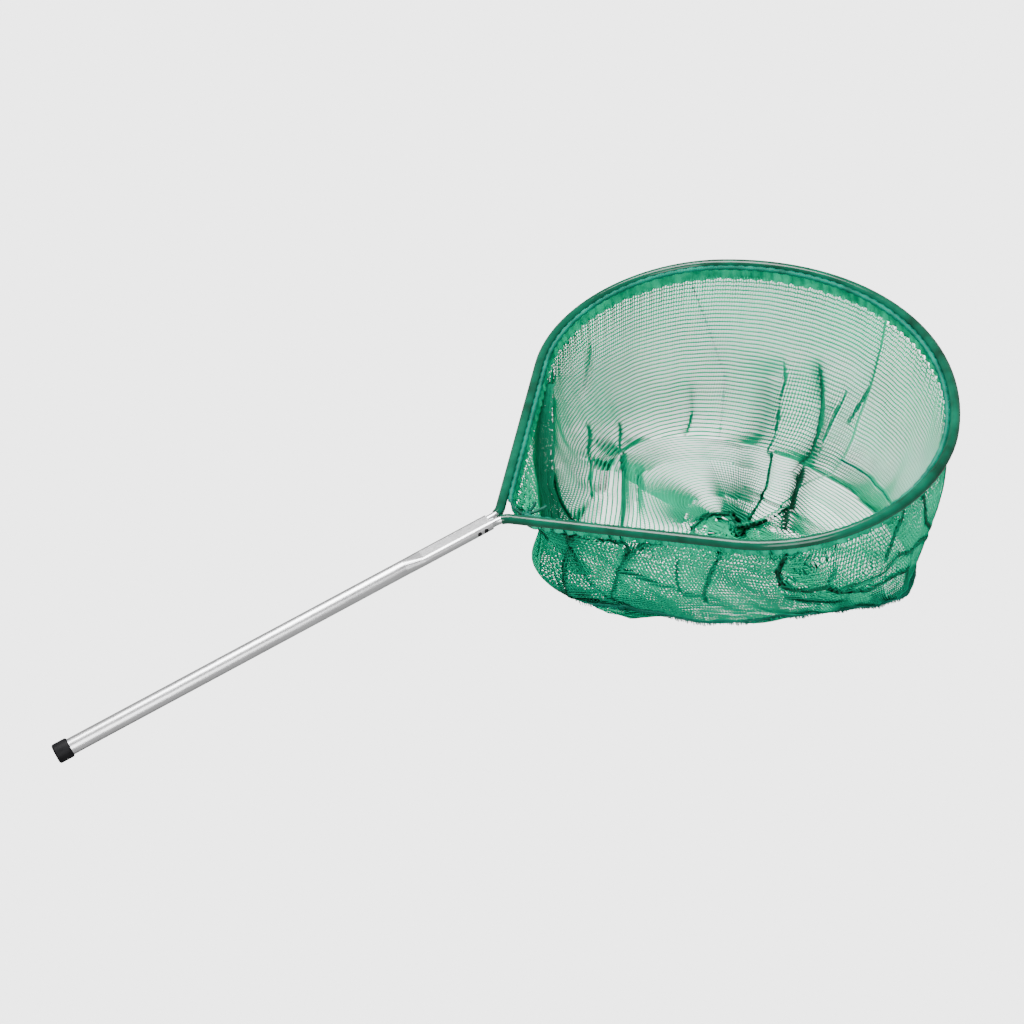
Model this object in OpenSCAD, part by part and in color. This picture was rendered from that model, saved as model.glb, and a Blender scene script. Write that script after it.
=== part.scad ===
// Leaf skimmer hand net, mm, +Z up, standing as it does when put down: on the lower edge of its
// handle cap and on the floor of its net bag. +X runs along the handle towards the hoop's front.
// Frame pieces are drawn in the hoop's own plane and then tilted as one.

/* [Handle] */
// Outer diameter of the handle tube
tube_od = 16; // [14:0.5:22]
// Wall of the handle tube
tube_wall = 1; // [0.8:0.1:1.5]
// Length of the handle tube, cap floor to hoop end
tube_len = 462; // [250:1:900]
// Length of the end that is pressed flat round the hoop's legs
press_len = 76; // [50:1:120]
// Length over which the round tube turns into the flat end
press_ramp = 20; // [10:1:40]
// Side clearance of each leg inside the flat end
press_clear = 0.5; // [0.2:0.1:1]

/* [Handle cap] */
// Outer diameter of the cap
cap_od = 19.4; // [17:0.1:28]
// Length of the cap
cap_len = 15; // [10:0.5:40]
// Thickness of the cap's closed end
cap_floor = 3; // [2:0.5:6]
// Radius of the cap's outer edges
cap_round = 2; // [1:0.5:3]
// Length of the split plug inside the tube's end
plug_len = 9; // [5:0.5:10]
// Wall of the split plug
plug_wall = 1.4; // [1:0.1:2.5]
// Width of the two slots that split the plug
plug_slot = 2; // [1:0.5:4]

/* [Hoop] */
// Reach of the hoop's centre line, throat to front
hoop_len = 480; // [430:1:560]
// Angle between each leg and the handle's axis
leg_angle = 50.4; // [46:0.1:54]
// Radius of the hoop's side bends
side_r = 168; // [130:1:190]
// Radius of the hoop's front
front_r = 281; // [250:1:320]
// Diameter of the hoop rod
rod_d = 8; // [6:0.5:9]
// Length of rod that lies inside the handle
rod_insert = 70; // [40:1:100]
// Radius of the bend where a leg leaves the handle
throat_r = 18; // [14:1:30]
// Bare rod between the handle's end and the bend
bare_len = 5; // [2:0.5:12]
// Distance from the throat point back to the handle's end
setback = 15; // [12:0.5:30]
// Gap between the two legs, side by side
leg_gap = 0.5; // [0.3:0.1:1.5]

/* [Hose over the hoop] */
// Outer diameter of the split hose
hose_od = 10; // [9.6:0.1:14]
// Clearance between hose and rod
hose_clear = 0.1; // [0.05:0.05:0.3]
// Width of the slit along the hose's inner side
slit_w = 1.6; // [1.2:0.1:3]
// Angle of the throat bend that stays bare
hose_start = 20; // [18:1:30]

/* [Leg rivets] */
// Diameter of a rivet's shank
rivet_d = 2.4; // [2:0.1:3]
// Diameter of a rivet's black head
rivet_head = 5; // [4:0.1:6]
// Height of a rivet's head
rivet_high = 1.4; // [1:0.1:2.5]
// Distance between the two rivets of a leg
rivet_pitch = 7.5; // [7:0.5:12]
// Distance from the handle's end to the first rivet
rivet_edge = 8; // [6:0.5:14]
// Depth that a rivet's shank reaches into the rod
rivet_grip = 4.5; // [3:0.1:5]

/* [Hem] */
// Distance from the hoop's centre line in to the hem cord
hem_in = 8.2; // [8:0.1:11]
// Outer diameter of the hem's sleeve of net
hem_od = 5.4; // [5:0.1:6]
// Diameter of the draw cord in the hem
cord_d = 3; // [2:0.1:3.4]
// Clearance between draw cord and hem
cord_clear = 0.2; // [0.1:0.1:0.4]
// Depth of the hem below the cord
hem_deep = 11; // [8:0.5:20]
// Thickness of the gathered hem
hem_thick = 2.4; // [1.5:0.1:3]
// Radius of the hem where it crosses the throat
hem_end_r = 34; // [26:1:45]
// Diameter of the knot in the draw cord
knot_d = 11; // [8:0.5:13]
// Direction of the knot from the middle of the hem's narrow end
knot_angle = 30; // [-60:1:60]
// Angle of each loose end to the handle's axis
tail_spread = 32; // [20:1:50]
// Length of the draw cord's loose ends
knot_tail = 16; // [8:1:30]

/* [Net bag] */
// Height of the throat point above the floor
throat_high = 122.6; // [100:0.1:150]
// Thickness of a panel of net
net_thick = 2; // [1.5:0.1:3]
// Where the bag's floor begins, forward of the throat point
floor_start = 76; // [60:1:90]
// Where the bag's floor ends, forward of the throat point
floor_end = 455; // [420:1:458]
// Half angle of the bag floor's narrow end
floor_angle = 38; // [33:0.5:42]
// Radius of the bag floor's narrow end
floor_end_r = 55; // [40:1:65]
// Radius of the bag floor's side bends
floor_side_r = 95; // [70:1:110]
// Radius of the bag floor's front
floor_front_r = 270; // [240:1:290]
// Angle by which the bag lies turned on the floor under the hoop
floor_turn = 13; // [0:0.5:16]
// Share of straight slope in the walls' section, the rest being a quarter of an ellipse
wall_slope = 0.15; // [0:0.05:0.6]
// Number of openings round each wall, standing for the netting's fine ones
net_cols = 11; // [6:1:12]
// Number of openings down each wall
net_rows = 4; // [2:1:6]
// Share of an opening's pitch that the bar of net beside it takes
bar_share = 0.18; // [0.1:0.01:0.4]
// Number of hanging folds in each wall
fold_count = 11; // [6:1:12]
// Depth of the folds at the floor
fold_deep = 5; // [0:0.5:9]
// Diameter of the rolled seam allowance along the near wall
seam_d = 5; // [3:0.5:8]
// Place of the rolled seam down the near wall, hem 0 to floor 1
seam_at = 0.7; // [0.4:0.01:0.8]
// Depth by which a seam or a stitched line is caught in its wall
seam_sink = 0.5; // [0.2:0.1:1]
// Diameter of the stitched line up the far wall
stitch_d = 2.4; // [2:0.1:4]
// Place of the stitched line round the wall, throat 0 to front 1
stitch_at = 0.72; // [0.3:0.01:0.9]

/* [Hidden] */
$fn = 48;
// Smallest depth by which a cutter passes a face
cut = 1;
// Sides of a circle in the blend between round and flat tube
blend_fn = 32;
// Thickness of a blend's end slices
slice = 0.01;
// How much slimmer a slim piece of a sweep is all round, and how far it enters its neighbours
seat = 0.02;
lap = 0.5;
$slim = 0;

tube_r = tube_od / 2;
rod_r = rod_d / 2;
hose_r = hose_od / 2;
cap_r = cap_od / 2;
leg_y = rod_r + leg_gap / 2;
flat_in_w = 2 * (leg_y + rod_r + press_clear);
flat_w = flat_in_w + 2 * tube_wall;
// The pressed end keeps the girth of the round tube's mid wall
flat_h = (PI * (tube_od - tube_wall) - 2 * (flat_w - tube_wall)) / (PI - 2) + tube_wall;
flat_in_h = flat_h - 2 * tube_wall;
tube_end = -setback;
flat_back = tube_end - press_len;
round_front = flat_back - press_ramp;
tube_back = tube_end - tube_len;
cap_back = tube_back - cap_floor;

// The stance: the cap's rounded lower edge touches the floor
stance_x = -cap_back - cap_round;
stance_z = cap_r - cap_round;
stance_arm = norm([stance_x, stance_z]);
tilt = asin((throat_high - cap_round) / stance_arm) - atan2(stance_z, stance_x);
x_back = -stance_x * cos(tilt) - stance_z * sin(tilt) - cap_round;
x_front = hoop_len * cos(tilt) + hose_r;
mid_x = (x_back + x_front) / 2;

// Where a leg's bend ends, and where its straight line meets the axis
bend_x = tube_end + bare_len;
bend_end = [bend_x + throat_r * sin(leg_angle), leg_y + throat_r * (1 - cos(leg_angle))];
apex = bend_end[0] - bend_end[1] / tan(leg_angle);

// An outline is [apex x, half angle, end radius, side radius, front radius, front x]
hoop_line = [apex, leg_angle, hem_end_r + hem_in, side_r, front_r, hoop_len];
floor_line = [floor_start - floor_end_r / sin(floor_angle) + floor_end_r, floor_angle, floor_end_r,
    floor_side_r, floor_front_r, floor_end];

function inset(o, e) =
    [o[0] + e / sin(o[1]), o[1], o[2] - e, o[3] - e, o[4] - e, o[5] - e];
function heading(o) = [cos(o[1]), sin(o[1])];
function inward(o) = [sin(o[1]), -cos(o[1])];
function side_base(o) = [o[0] - o[5] + o[4], 0] + o[3] * inward(o);
// Distance from the apex to where the side bend starts
function leg_run(o) =
    let (b = side_base(o), k = b * heading(o))
    sqrt(k * k - b * b + pow(o[4] - o[3], 2)) - k;
function side_centre(o) = [o[0], 0] + leg_run(o) * heading(o) + o[3] * inward(o);
function front_centre(o) = [o[5] - o[4], 0];
// Direction of the joint between side bend and front
function front_angle(o) =
    let (c = side_centre(o) - front_centre(o))
    atan2(c[1], c[0]);
function end_centre(o) = [o[0] + o[2] / sin(o[1]), 0];
function end_run(o) = o[2] / tan(o[1]);
function on_circle(c, r, a) = c + r * [cos(a), sin(a)];

// Points of half an outline, from the middle of its narrow end round to its front
end_steps = 5;
leg_steps = 12;
side_steps = 12;
front_steps = 12;
half_steps = end_steps + leg_steps + side_steps + front_steps;
function arc_part(c, r, a, b, i, n) = on_circle(c, r, a + (b - a) * i / n);
function outline_at(o, i) =
    i <= end_steps
    ? arc_part(end_centre(o), o[2], 180, 90 + o[1], i, end_steps)
    : i <= end_steps + leg_steps
    ? [o[0], 0] + heading(o) * (end_run(o)
        + (leg_run(o) - end_run(o)) * (i - end_steps) / leg_steps)
    : i <= end_steps + leg_steps + side_steps
    ? arc_part(side_centre(o), o[3], 90 + o[1], front_angle(o), i - end_steps - leg_steps, side_steps)
    : arc_part(front_centre(o), o[4], front_angle(o), 0, i - half_steps + front_steps, front_steps);

// From the hoop's plane to the stance
function stand(p) = [
    p[0] * cos(tilt) - p[2] * sin(tilt) - mid_x,
    p[1],
    p[0] * sin(tilt) + p[2] * cos(tilt) + throat_high
];

module stance() {
    translate([-mid_x, 0, throat_high]) rotate([0, -tilt, 0]) children();
}

module both_sides() {
    children();
    mirror([0, 1, 0]) children();
}

// Sweeps a section along a straight run or along an arc. The section's x points out of the hoop.
module run(from, angle, length) {
    translate([from[0], from[1], 0])
        rotate([90, 0, angle + 90]) linear_extrude(length) children();
}

module bend(centre, r, from, to) {
    translate([centre[0], centre[1], 0])
        rotate([0, 0, from]) rotate_extrude(angle = to - from) translate([r, 0]) children();
}

// A slim piece enters the full pieces at its two ends, so that all of a sweep is one solid
module slim() {
    $slim = seat;
    children();
}

module legs(o, start) {
    both_sides() slim()
        run([o[0], 0] + (start - lap) * heading(o), o[1], leg_run(o) - start + 2 * lap) children();
}

module front(o) {
    spread = front_angle(o) + lap / o[4] * 180 / PI;
    slim() bend(front_centre(o), o[4], -spread, spread) children();
}

// An outline swept from its legs' start round to its front
module open_sweep(o, start) {
    legs(o, start) children();
    both_sides() bend(side_centre(o), o[3], front_angle(o), 90 + o[1]) children();
    front(o) children();
}

module closed_sweep(o) {
    open_sweep(o, end_run(o)) children();
    bend(end_centre(o), o[2], 90 + o[1], 270 - o[1]) children();
}

// Handle
module flat_section(w, h) {
    square([h, w - h], center = true);
    for (s = [-1, 1])
        translate([0, s * (w - h) / 2]) circle(h / 2);
}

module along_x(from, length) {
    translate([from, 0, 0]) rotate([0, 90, 0]) linear_extrude(length) children();
}

module tube_blend(r, w, h, over) {
    hull() {
        along_x(round_front - over, slice) circle(r, $fn = blend_fn);
        along_x(flat_back + over - slice, slice) flat_section(w, h, $fn = blend_fn);
    }
}

module handle_tube() {
    color("silver") stance() {
        difference() {
            along_x(tube_back, round_front - tube_back) circle(tube_r);
            along_x(tube_back - cut, round_front - tube_back + 2 * cut) circle(tube_r - tube_wall);
        }
        difference() {
            tube_blend(tube_r, flat_w, flat_h, 0);
            tube_blend(tube_r - tube_wall, flat_in_w, flat_in_h, slice);
        }
        difference() {
            along_x(flat_back, press_len) flat_section(flat_w, flat_h);
            along_x(flat_back - cut, press_len + 2 * cut) flat_section(flat_in_w, flat_in_h);
            rivet_holes(flat_w / 2 + cut);
        }
    }
}

// Cap, with the split plug that holds it in the tube
module end_cap() {
    color("dimgray") stance() difference() {
        translate([cap_back, 0, 0]) rotate([0, 90, 0]) rotate_extrude() cap_section();
        translate([tube_back, -plug_slot / 2, -tube_r])
            cube([plug_len + cut, plug_slot, tube_od - 2 * tube_wall + cut]);
    }
}

module cap_section() {
    difference() {
        union() {
            square([cap_r - cap_round, cap_len]);
            translate([0, cap_round]) square([cap_r, cap_len - 2 * cap_round]);
            translate([cap_r - cap_round, cap_round]) circle(cap_round);
            translate([cap_r - cap_round, cap_len - cap_round]) circle(cap_round);
        }
        translate([tube_r - tube_wall, cap_floor]) square([tube_wall, cap_len]);
        translate([-cut, cap_floor]) square([tube_r - tube_wall - plug_wall + cut, cap_len]);
        translate([0, cap_floor + plug_len]) square([tube_r, cap_len]);
    }
}

// Rivets, two through each edge of the flat end into the leg beside it
module at_rivets() {
    for (i = [0, 1])
        translate([tube_end - rivet_edge - i * rivet_pitch, 0, 0]) children();
}

module rivet_holes(reach) {
    at_rivets() rotate([90, 0, 0]) cylinder(h = 2 * reach, d = rivet_d, center = true);
}

// A low dome whose rim meets the flat end's curved edge
rivet_sink = (flat_h - sqrt(pow(flat_h, 2) - pow(rivet_head, 2))) / 2;
rivet_dome = rivet_high + rivet_sink;
rivet_ball = (pow(rivet_head / 2, 2) + pow(rivet_dome, 2)) / (2 * rivet_dome);
module rivet_cap() {
    intersection() {
        translate([0, 0, rivet_dome - rivet_ball]) sphere(rivet_ball);
        cylinder(h = rivet_dome, d = rivet_head);
    }
}

module leg_rivets() {
    color("black") stance() both_sides() at_rivets() {
        translate([0, flat_w / 2 - tube_wall - rivet_grip, 0])
            rotate([-90, 0, 0]) cylinder(h = rivet_grip + tube_wall, d = rivet_d);
        difference() {
            translate([0, flat_w / 2 - rivet_sink, 0]) rotate([-90, 0, 0]) rivet_cap();
            along_x(-rivet_head, 2 * rivet_head) flat_section(flat_w, flat_h);
        }
    }
}

// Hoop rod, one length whose two ends lie side by side in the handle
leg_start = norm(bend_end - [apex, 0]);
module rod_section() {
    circle(rod_r - $slim);
}

module hoop_rod() {
    color("lightsteelblue") stance() difference() {
        union() {
            both_sides() {
                slim() along_x(tube_end - rod_insert, rod_insert + bare_len + lap)
                    translate([0, leg_y]) rod_section();
                bend([bend_x, leg_y + throat_r], throat_r, -90, leg_angle - 90) rod_section();
            }
            open_sweep(hoop_line, leg_start) rod_section();
        }
        both_sides() at_rivets()
            translate([0, flat_w / 2 - tube_wall - rivet_grip, 0])
            rotate([-90, 0, 0]) cylinder(h = rivet_grip, d = rivet_d);
    }
}

// Hose, slit along the side that faces into the hoop
module hose_section(side) {
    slit = slit_w + 2 * $slim;
    difference() {
        circle(hose_r - $slim);
        circle(rod_r + hose_clear + $slim);
        translate([side > 0 ? 0 : -hose_od, -slit / 2]) square([hose_od, slit]);
    }
}

module hoop_hose() {
    color("mediumseagreen") stance() {
        both_sides()
            bend([bend_x, leg_y + throat_r], throat_r, hose_start - 90, leg_angle - 90) hose_section(1);
        open_sweep(hoop_line, leg_start) hose_section(-1);
    }
}

// Hem, a sleeve of doubled net round the draw cord, with its skirt below and its tongue in the slit
tongue = slit_w - 2 * cord_clear;
hem_line = inset(hoop_line, hem_in);
hem_low = -hem_od / 2 - hem_deep;
module hem_section() {
    wide = hem_thick - 2 * $slim;
    flat = tongue - 2 * $slim;
    difference() {
        union() {
            circle(hem_od / 2 - $slim);
            translate([-wide / 2, hem_low + $slim]) square([wide, -hem_low]);
            translate([0, -flat / 2]) square([hem_in - rod_r - hose_clear - $slim, flat]);
        }
        circle(cord_d / 2 + cord_clear + $slim);
    }
}

module hem_band() {
    color("seagreen") stance() closed_sweep(hem_line) hem_section();
}

module hem_cord() {
    color("darkgreen") stance() closed_sweep(hem_line) circle(cord_d / 2 - $slim);
}

// Knot that ties the draw cord's two ends, inside the hoop beside the near leg
knot_at = on_circle(end_centre(hem_line), hem_line[2] - (hem_od + knot_d) / 2, 180 + knot_angle);
module hem_knot() {
    color("darkgreen") stance() translate([knot_at[0], knot_at[1], 0]) {
        sphere(knot_d / 2);
        for (s = [-1, 1])
            rotate([0, 90, s * tail_spread]) cylinder(h = knot_d / 2 + knot_tail, d = cord_d);
    }
}

// Net walls. k runs round half an outline, v runs 0 to 1 from the hem down to the floor.
wall_line = inset(hoop_line, hem_in - net_thick / 2);
// Steps across and down an opening, and down a wall where it carries a line
open_cols = 3;
open_rows = 2;
line_rows = 6;

function unit(p) = p / norm(p);
function along(o, k) =
    let (i = floor(k), f = k - i)
    f == 0 ? outline_at(o, i) : outline_at(o, i) * (1 - f) + outline_at(o, i + 1) * f;
function outward(o, k) =
    let (a = along(o, max(0, k - 0.5)), b = along(o, min(half_steps, k + 0.5)), t = unit(b - a))
    [-t[1], t[0]];
function wall_top(k, e) =
    let (p = along(inset(wall_line, e), k))
    stand([p[0], p[1], hem_low]);
// The floor's outline is turned about its own middle; s is 1 on the far side and -1 on the near
floor_mid = (floor_start + floor_end) / 2;
function wall_foot(k, e, s) =
    let (p = along(inset(floor_line, e), k), x = p[0] - floor_mid, y = s * p[1])
    [
        x * cos(floor_turn) - y * sin(floor_turn) + floor_mid - mid_x,
        x * sin(floor_turn) + y * cos(floor_turn)
    ];
function fold(k) = fold_deep * sin(360 * fold_count * k / half_steps) * sin(180 * k / half_steps);
// Share of the way in to the foot, and share of the way down to the floor
function wall_in(v) = (1 - wall_slope) * (1 - cos(90 * v)) + wall_slope * v;
function wall_down(v) = (1 - wall_slope) * sin(90 * v) + wall_slope * v;
// A point of a wall, e inside its outer face: sideways at the hem, upwards on the floor
function wall_at(k, v, e, s) =
    let (n = outward(wall_line, k), w = wall_in(v), side = e * cos(90 * v), top = wall_top(k, side),
        foot = wall_foot(k, side + fold_deep, s), push = fold(k) * w)
    [
        top[0] * (1 - w) + foot[0] * w + n[0] * push,
        s * top[1] * (1 - w) + foot[1] * w + s * n[1] * push,
        top[2] * (1 - wall_down(v)) + e * sin(90 * v)
    ];

// Marks from 0 to 1 at the edges of the openings and the steps across each
function marks(count, steps) = concat(
    [0],
    [for (p = [0 : count - 1], q = [0 : steps])
        (p + bar_share / 2 + (1 - bar_share) * q / steps) / count],
    [1]
);
col_marks = marks(net_cols, open_cols);
row_marks = marks(net_rows, open_rows);
last_col = len(col_marks) - 1;
last_row = len(row_marks) - 1;
function wall_col(i) = half_steps * col_marks[i];
// A cell is net where it lies on a bar, and an opening elsewhere
function is_net(i, j) =
    i >= 0 && j >= 0 && i < last_col && j < last_row
    && (i % (open_cols + 1) == 0 || j % (open_rows + 1) == 0);
function outer(i, j) = i * len(row_marks) + j;
function inner(i, j) = outer(i, j) + len(col_marks) * len(row_marks);
function quad(a, b, c, d) = [[a, b, c], [a, c, d]];
function cell_faces(i, j) =
    let (a = outer(i, j), b = outer(i + 1, j), c = outer(i + 1, j + 1), d = outer(i, j + 1))
    let (e = inner(i, j), f = inner(i + 1, j), g = inner(i + 1, j + 1), h = inner(i, j + 1))
    concat(
        quad(a, b, c, d),
        quad(h, g, f, e),
        is_net(i, j + 1) ? [] : quad(d, c, g, h),
        is_net(i, j - 1) ? [] : quad(e, f, b, a),
        is_net(i - 1, j) ? [] : quad(a, d, h, e),
        is_net(i + 1, j) ? [] : quad(c, b, f, g)
    );
// Faces of a tube of n rings of m points, with its two ends closed
function tube_faces(n, m) = concat(
    [for (i = [0 : n - 2], j = [0 : m - 1]) let (a = i * m, b = a + m, k = (j + 1) % m)
        [a + j, b + j, b + k]],
    [for (i = [0 : n - 2], j = [0 : m - 1]) let (a = i * m, b = a + m, k = (j + 1) % m)
        [a + j, b + k, a + k]]
);
function end_faces(n, m) = concat(
    [for (j = [0 : m / 2 - 2]) [j, j + 1, m - 2 - j]],
    [for (j = [0 : m / 2 - 2]) [j, m - 2 - j, m - 1 - j]],
    [for (j = [0 : m / 2 - 2], a = (n - 1) * m) [a + j, a + m - 2 - j, a + j + 1]],
    [for (j = [0 : m / 2 - 2], a = (n - 1) * m) [a + j, a + m - 1 - j, a + m - 2 - j]]
);

module net_wall(side) {
    points = [for (e = [0, net_thick], i = [0 : last_col], j = [0 : last_row])
        wall_at(wall_col(i), row_marks[j], e, side)];
    faces = [for (i = [0 : last_col - 1], j = [0 : last_row - 1])
        if (is_net(i, j)) for (f = cell_faces(i, j)) f];
    polyhedron(points, side > 0 ? faces : [for (f = faces) [f[2], f[1], f[0]]], convexity = 8);
}

module net_near() {
    color("mediumaquamarine") net_wall(-1);
}

module net_far() {
    color("aquamarine") net_wall(1);
}

// Net floor, inside the feet of the two walls
module net_floor() {
    line = [for (i = [0 : last_col]) wall_at(wall_col(i), 1, 0, 1)];
    back = [for (i = [last_col - 1 : -1 : 1]) wall_at(wall_col(i), 1, 0, -1)];
    color("lightgreen") linear_extrude(net_thick)
        polygon([for (p = concat(line, back)) [p[0], p[1]]]);
}

// A round bar swept along points, for the rolled seam and the stitched line
bar_sides = 10;
function bar_dir(points, i) =
    unit(points[min(i + 1, len(points) - 1)] - points[max(i - 1, 0)]);
function bar_ring(p, t, d) =
    let (s = unit(cross(t, [0, 0, 1])), w = cross(s, t))
    [for (j = [0 : bar_sides - 1]) let (a = 360 * j / bar_sides) p + d / 2 * (cos(a) * s + sin(a) * w)];

module bar_along(points, d) {
    n = len(points);
    rings = [for (i = [0 : n - 1], p = bar_ring(points[i], bar_dir(points, i), d)) p];
    polyhedron(rings, concat(tube_faces(n, bar_sides), end_faces(n, bar_sides)), convexity = 6);
}

module foot_seam() {
    out = seam_sink - seam_d / 2;
    color("green") bar_along([for (i = [0 : half_steps]) wall_at(i, seam_at, out, -1)], seam_d);
}

module wall_seam() {
    k = round(stitch_at * net_cols) / net_cols * half_steps;
    in = net_thick + stitch_d / 2 - seam_sink;
    color("green") bar_along([for (j = [line_rows : -1 : 0]) wall_at(k, j / line_rows, in, 1)], stitch_d);
}

handle_tube();
end_cap();
leg_rivets();
hoop_rod();
hoop_hose();
hem_band();
hem_cord();
hem_knot();
net_near();
net_far();
net_floor();
foot_seam();
wall_seam();
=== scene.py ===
"""Leaf skimmer net: dresses the CAD frame with netting, hem, cord, seams and finishes.

All lengths inside the classes are millimetres in the frame's axes; meshes are written in metres.
"""

from __future__ import annotations

import logging
import math
from dataclasses import dataclass, field
from enum import Enum

import bpy
import numpy as np
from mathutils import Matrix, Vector

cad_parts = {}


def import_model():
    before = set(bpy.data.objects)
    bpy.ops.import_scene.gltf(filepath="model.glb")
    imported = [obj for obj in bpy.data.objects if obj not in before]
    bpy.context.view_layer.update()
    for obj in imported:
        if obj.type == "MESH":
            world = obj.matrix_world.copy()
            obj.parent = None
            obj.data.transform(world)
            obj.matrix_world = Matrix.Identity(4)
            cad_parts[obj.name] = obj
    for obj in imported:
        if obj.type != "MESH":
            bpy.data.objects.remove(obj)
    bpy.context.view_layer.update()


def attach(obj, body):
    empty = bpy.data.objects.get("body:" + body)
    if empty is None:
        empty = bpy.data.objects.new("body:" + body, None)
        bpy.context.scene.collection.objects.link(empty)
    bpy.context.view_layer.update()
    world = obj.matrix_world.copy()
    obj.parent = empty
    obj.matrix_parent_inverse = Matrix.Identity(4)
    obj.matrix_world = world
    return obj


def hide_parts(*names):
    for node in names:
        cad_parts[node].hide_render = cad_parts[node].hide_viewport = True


LOG = logging.getLogger("skimmer")
MM = 0.001
BODY = "net"
# Level at which the floor's netting ends, just short of the point where it is drawn together.
HUB_LEVEL = 1.985
Array = np.ndarray


# ---------------------------------------------------------------- plan curves and the stance


@dataclass(frozen=True)
class Outline:
    """A closed plan curve: narrow end arc, straight leg, side bend and front arc, the same on both sides."""

    apex: float
    half_angle: float
    end_r: float
    side_r: float
    front_r: float
    front_x: float
    steps: tuple[int, int, int, int] = (5, 12, 12, 12)

    @property
    def count(self) -> int:
        """Parameter value at the front's middle."""
        return sum(self.steps)

    def inset(self, e: float) -> "Outline":
        """The curve moved inwards by e mm."""
        shift = e / math.sin(math.radians(self.half_angle))
        return Outline(self.apex + shift, self.half_angle, self.end_r - e, self.side_r - e,
                       self.front_r - e, self.front_x - e, self.steps)

    def _side(self) -> tuple[float, Array, float, Array]:
        """Length from the apex to the side bend, the bend's centre, its end angle and the leg's heading."""
        a = math.radians(self.half_angle)
        heading = np.array([math.cos(a), math.sin(a)])
        inward = np.array([math.sin(a), -math.cos(a)])
        base = np.array([self.apex - self.front_x + self.front_r, 0.0]) + self.side_r * inward
        k = float(base @ heading)
        run = math.sqrt(k * k - float(base @ base) + (self.front_r - self.side_r) ** 2) - k
        centre = np.array([self.apex, 0.0]) + run * heading + self.side_r * inward
        to_side = centre - np.array([self.front_x - self.front_r, 0.0])
        return run, centre, math.atan2(to_side[1], to_side[0]), heading

    def at(self, k: Array) -> Array:
        """Points of the +Y half.

        Each arc is centre + r * (cos a, sin a) with a linear in k, and the leg is apex + heading * s.

        Args:
            k: parameter from 0, the narrow end's middle, to count, the front's middle.

        Returns:
            Array of shape k.shape + (2,), in mm.
        """
        n_end, n_leg, n_side, n_front = self.steps
        run, centre, turn, heading = self._side()
        a = math.radians(self.half_angle)
        tail = self.end_r / math.tan(a)
        end_c = np.array([self.apex + self.end_r / math.sin(a), 0.0])
        front_c = np.array([self.front_x - self.front_r, 0.0])

        def arc(c: Array, r: float, start: float, stop: float, f: Array) -> Array:
            """c + r * (cos, sin) of start + (stop - start) * f."""
            w = start + (stop - start) * f
            return c + r * np.stack([np.cos(w), np.sin(w)], -1)

        k = np.asarray(k, float)[..., None]
        f = k[..., 0]
        parts = [
            arc(end_c, self.end_r, math.pi, math.pi / 2 + a, f / n_end),
            np.array([self.apex, 0.0]) + heading * (tail + (run - tail) * (k - n_end) / n_leg),
            arc(centre, self.side_r, math.pi / 2 + a, turn, (f - n_end - n_leg) / n_side),
            arc(front_c, self.front_r, turn, 0.0, (f - n_end - n_leg - n_side) / n_front),
        ]
        picks = [k <= n_end, k <= n_end + n_leg, k <= n_end + n_leg + n_side]
        return np.select(picks, parts[:3], parts[3])


@dataclass(frozen=True)
class Stance:
    """Turns the hoop's own plane into the frame: tilt about Y, then a shift."""

    tilt: float = 13.689
    mid_x: float = 1.5605
    high: float = 122.6

    def place(self, x: Array, y: Array, z: Array) -> Array:
        """Frame points in mm: (x cos t - z sin t - mid_x, y, x sin t + z cos t + high)."""
        c, s = math.cos(math.radians(self.tilt)), math.sin(math.radians(self.tilt))
        x, y, z = np.broadcast_arrays(x, y, z)
        return np.stack([x * c - z * s - self.mid_x, y, x * s + z * c + self.high], -1)


HOOP = Outline(apex=-5.0475, half_angle=50.4, end_r=42.2, side_r=168.0, front_r=281.0, front_x=480.0)
FLOOR_R, FLOOR_ANGLE, FLOOR_START, FLOOR_END, FLOOR_TURN = 55.0, 38.0, 76.0, 455.0, 13.0
FLOOR = Outline(
    apex=FLOOR_START - FLOOR_R / math.sin(math.radians(FLOOR_ANGLE)) + FLOOR_R,
    half_angle=FLOOR_ANGLE, end_r=FLOOR_R, side_r=95.0, front_r=270.0, front_x=FLOOR_END)
STANCE = Stance()


def lay_floor(p: Array, side: float) -> Array:
    """Floor outline points, mirrored by side, turned about the floor's middle, in frame mm."""
    a, mid = math.radians(FLOOR_TURN), (FLOOR_START + FLOOR_END) / 2
    x, y = p[..., 0] - mid, side * p[..., 1]
    return np.stack([x * math.cos(a) - y * math.sin(a) + mid - STANCE.mid_x,
                     x * math.sin(a) + y * math.cos(a)], -1)


class Side(Enum):
    """Which half of the bag a panel hangs on."""

    FAR = 1
    NEAR = -1


# ---------------------------------------------------------------- measures and mesh helpers


def lengths(path: Array) -> Array:
    """Length along a path up to each of its points, the first being 0."""
    return np.concatenate([[0], np.cumsum(np.linalg.norm(np.diff(path, axis=0), axis=1))])


def measure(line: Outline) -> tuple[Array, Array]:
    """Parameters along half an outline, from its narrow end to its front, and the length up to each."""
    k = np.linspace(0, line.count, 1600)
    return k, lengths(line.at(k))


def unit(a: Array) -> Array:
    """Vectors of length one along the last axis."""
    return a / np.maximum(np.linalg.norm(a, axis=-1, keepdims=True), 1e-9)


def smoothstep(x: Array, low: float, high: float) -> Array:
    """3 t^2 - 2 t^3 of t, x's place between low and high, held to 0..1."""
    t = np.clip((x - low) / (high - low), 0.0, 1.0)
    return t * t * (3.0 - 2.0 * t)


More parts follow.
